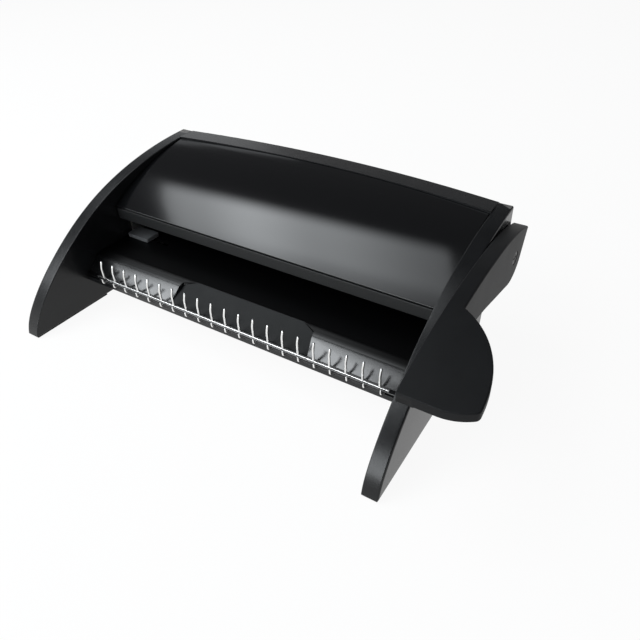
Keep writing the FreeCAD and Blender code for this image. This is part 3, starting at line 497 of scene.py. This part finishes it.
def coil_springs():
    """Two coils in the sleeves' places."""
    low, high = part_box("return_springs")
    radius = (high.y - low.y) / 2.0
    mean = radius - SPRING_WIRE
    steps = SPRING_TURNS * SPRING_STEPS
    height = high.z - low.z
    climb = (height - 2.0 * SPRING_WIRE) / steps
    bm = bmesh.new()
    for x in (low.x + radius, high.x - radius):
        centre = Vector((x, (low.y + high.y) / 2.0, low.z + SPRING_WIRE))
        start = wire_end(bm, SPRING_WIRE, centre + Vector((mean, 0.0, 0.0)), Vector((0.0, 1.0, 0.0)))
        made = bmesh.ops.spin(bm, geom=start, cent=centre, axis=UP, dvec=(0.0, 0.0, climb),
                              angle=2.0 * math.pi * SPRING_TURNS, steps=steps)
        bmesh.ops.edgeloop_fill(bm, edges=ring_edges(new_verts(made["geom_last"])))
    bmesh.ops.recalc_face_normals(bm, faces=bm.faces)
    coils = piece("coil_springs", bm, "return_springs", WIRE_SHARP_ANGLE)
    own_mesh(coils)


for node, name in SHELLS.items():
    shell(node, name)
for node, (name, edge_round) in MOULDINGS.items():
    moulding(node, name, edge_round)
wire_pins()
wire_hooks()
coil_springs()


# Studio

def softbox(name, place, target, width, depth, glow, turn=0.0):
    """Area lamp that faces target, its face as bright as glow; turn is in degrees about its own axis."""
    lamp = bpy.data.lights.new(name, "AREA")
    lamp.shape = "RECTANGLE"
    lamp.size = width
    lamp.size_y = depth
    lamp.energy = glow * math.pi * width * depth
    lamp.color = LAMP_COLOUR
    holder = bpy.data.objects.new(name, lamp)
    bpy.context.scene.collection.objects.link(holder)
    holder.location = place
    aim = (Vector(target) - Vector(place)).to_track_quat("-Z", "Y")
    holder.rotation_euler = (aim @ Quaternion(UP, math.radians(turn))).to_euler()
    return lamp


def glow_share(lamp, place, stops):
    """Share of a lamp's glow that eases from stop to stop."""
    ramp = add_node(lamp, "ShaderNodeValToRGB")
    ramp.color_ramp.interpolation = "EASE"
    marks = ramp.color_ramp.elements
    marks.remove(marks[1])
    for index, (position, share) in enumerate(stops):
        mark = marks.new(position) if index else marks[0]
        mark.position = position
        mark.color = (share, share, share, 1.0)
    join(lamp, place, ramp.inputs["Fac"])
    return ramp.outputs["Color"]


def fade(lamp, along, across):
    """Lets a lamp's glow fall off towards its edges."""
    lamp.use_nodes = True
    place = add_node(lamp, "ShaderNodeNewGeometry")
    split = add_node(lamp, "ShaderNodeSeparateXYZ")
    join(lamp, place.outputs["Parametric"], split.inputs["Vector"])
    share_along = glow_share(lamp, split.outputs["X"], along)
    share_across = glow_share(lamp, split.outputs["Y"], across)
    share = combine(lamp, "MULTIPLY", share_along, share_across)
    join(lamp, share, lamp.node_tree.nodes["Emission"].inputs["Strength"])


def studio_floor():
    """Wide white floor that keeps a faint shadow, both seen straight and in a reflection."""
    bm = bmesh.new()
    bmesh.ops.create_grid(bm, x_segments=1, y_segments=1, size=FLOOR_REACH)
    mesh = bpy.data.meshes.new("floor")
    bm.to_mesh(mesh)
    bm.free()
    floor = bpy.data.objects.new("floor", mesh)
    bpy.context.scene.collection.objects.link(floor)
    material, shader = new_finish("floor_white", FLOOR_COLOUR, FLOOR_ROUGHNESS)
    path = add_node(material, "ShaderNodeLightPath")
    glow = add_node(material, "ShaderNodeEmission")
    even = add_node(material, "ShaderNodeValue")
    even.outputs["Value"].default_value = FLOOR_EVEN_SHARE
    seen = combine(material, "MAXIMUM", path.outputs["Is Camera Ray"], path.outputs["Is Glossy Ray"])
    looked_at = combine(material, "MAXIMUM", seen, path.outputs["Is Transmission Ray"])
    share = combine(material, "MULTIPLY", looked_at, even.outputs["Value"])
    blend_shaders(material, share, shader.outputs["BSDF"], glow.outputs["Emission"])
    mesh.materials.append(material)


def studio_world():
    """White walls low down, under a dim ceiling."""
    world = bpy.data.worlds.new("studio")
    bpy.context.scene.world = world
    world.use_nodes = True
    place = add_node(world, "ShaderNodeTexCoord")
    split = add_node(world, "ShaderNodeSeparateXYZ")
    ramp = add_node(world, "ShaderNodeValToRGB")
    stops = ramp.color_ramp.elements
    stops[0].position = WALL_TOP
    stops[0].color = WALL_COLOUR
    stops[1].position = CEILING_FOOT
    stops[1].color = CEILING_COLOUR
    join(world, place.outputs["Generated"], split.inputs["Vector"])
    join(world, split.outputs["Z"], ramp.inputs["Fac"])
    join(world, ramp.outputs["Color"], world.node_tree.nodes["Background"].inputs["Color"])


def photo_camera():
    """Camera at the photograph's place, with the axis a little right of the picture's middle."""
    lens = bpy.data.cameras.new("photo_camera")
    lens.sensor_width = SENSOR_WIDTH
    lens.lens = LENS_LENGTH
    lens.shift_x = LENS_SHIFT
    lens.clip_start = NEAREST
    lens.clip_end = FARTHEST
    holder = bpy.data.objects.new("photo_camera", lens)
    bpy.context.scene.collection.objects.link(holder)
    holder.location = CAMERA_PLACE
    holder.rotation_euler = (math.radians(90.0 - CAMERA_DIP), 0.0, math.radians(CAMERA_TURN))
    bpy.context.scene.camera = holder


studio_floor()
studio_world()
photo_camera()
top_lamp = softbox("top_softbox", place=(-0.885, 0.115, 1.5), target=(-0.885, 0.115, 0.0),
                   width=1.26, depth=0.88, glow=6.5, turn=10.0)
fade(top_lamp, TOP_ALONG, TOP_ACROSS)
softbox("front_softbox", place=(-0.84, -0.82, 1.07), target=(-0.1, -0.05, 0.04),
        width=0.88, depth=0.95, glow=6.8)
softbox("back_softbox", place=(-1.4, 1.1, 0.75), target=(-0.15, 0.1, 0.1),
        width=0.8, depth=0.6, glow=0.5)
softbox("low_softbox", place=(-0.26, -1.42, 0.48), target=(0.145, -0.1, 0.04),
        width=0.5, depth=0.5, glow=8.0)
bpy.context.scene.view_settings.view_transform = "Standard"
